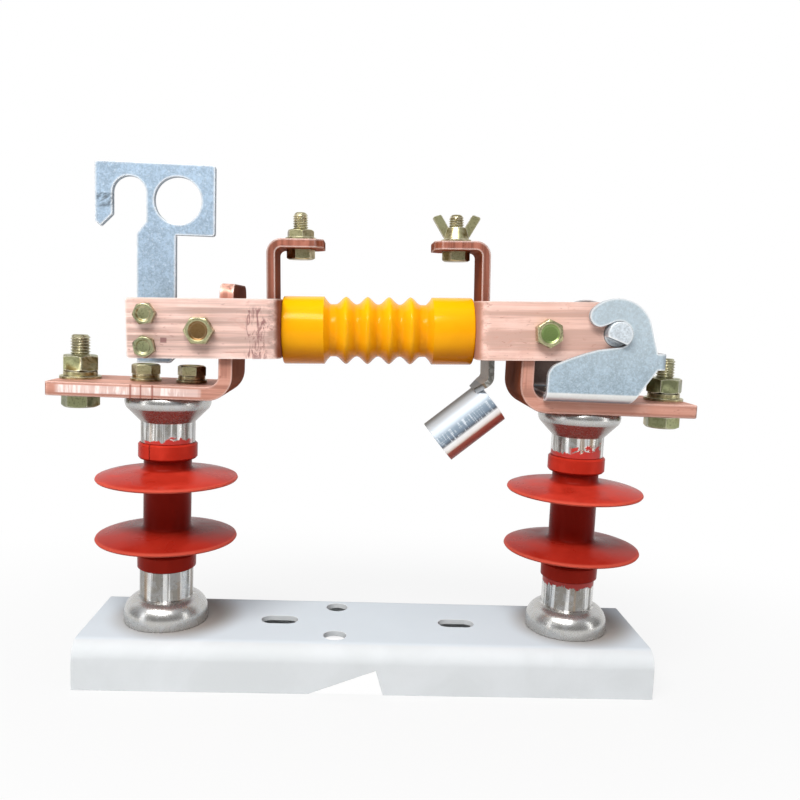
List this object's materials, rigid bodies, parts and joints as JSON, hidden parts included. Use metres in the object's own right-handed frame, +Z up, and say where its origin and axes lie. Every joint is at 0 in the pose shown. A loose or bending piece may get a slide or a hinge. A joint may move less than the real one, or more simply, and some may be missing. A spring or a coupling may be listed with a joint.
{
  "type": "knife-fuse switch",
  "caption": "Outdoor single-pole knife switch on sheathed posts, whose blade carries brackets for a fuse link and swings up out of its contacts about a hook-seated pin.",
  "frame": {"origin": "middle of the base's underside, which is the middle of the bounding box's bottom", "axes": "+X along the base from the opening end to the hinge end, -Y to the front, +Z up"},
  "size_m": [0.335, 0.074, 0.2677],
  "materials": {
    "grey_paint": "pale grey powder coat",
    "bright_plate": "bright plating, turned",
    "red_silicone": "glossy moulded silicone",
    "fibre_rod": "glass-fibre rod",
    "copper": "bare copper strip, lengthwise grain",
    "dark_copper": "bare copper, dulled",
    "yellow_zinc": "yellow-passivated zinc",
    "grey_zinc": "mottled grey zinc",
    "orange_resin": "glossy cast resin"
  },
  "bodies": {
    "frame": {"base_channel": "grey_paint", "base_washers": "yellow_zinc", "base_screws": "yellow_zinc", "left_post_foot": "bright_plate", "left_post_core": "fibre_rod", "left_post_sheath": "red_silicone", "left_post_head": "bright_plate", "right_post_foot": "bright_plate", "right_post_core": "fibre_rod", "right_post_sheath": "red_silicone", "right_post_head": "bright_plate", "left_contact_bar": "copper", "right_contact_bar": "copper", "bar_flat_washers": "yellow_zinc", "bar_spring_washers": "yellow_zinc", "bar_screws": "yellow_zinc", "terminal_washers": "yellow_zinc", "terminal_spring_washers": "yellow_zinc", "terminal_nuts": "yellow_zinc", "terminal_bolts": "yellow_zinc", "hinge_bracket": "grey_zinc"},
    "blade_carrier": {"right_blade_strap": "copper", "left_blade_strap": "copper", "insulator": "orange_resin", "left_fuse_bracket": "dark_copper", "right_fuse_bracket": "dark_copper", "fuse_bolts": "yellow_zinc", "fuse_washers": "yellow_zinc", "fuse_nut": "yellow_zinc", "wing_nut": "yellow_zinc", "hook_eye_plate": "grey_zinc", "plate_screws": "yellow_zinc", "plate_nuts": "yellow_zinc", "plate_spacers": "yellow_zinc", "clamp_washers": "yellow_zinc", "clamp_spring_washers": "yellow_zinc", "clamp_nuts": "yellow_zinc", "clamp_bolts": "yellow_zinc", "hinge_pin": "grey_zinc", "stick_socket": "bright_plate", "web_screws": "yellow_zinc"}
  },
  "joints": [
    {"name": "blade_swing", "type": "hinge", "parent": "frame", "child": "blade_carrier", "pos_m": [0.12, 0, 0.1905], "axis": [0, 1, 0], "range_deg": [0, 150]}
  ]
}
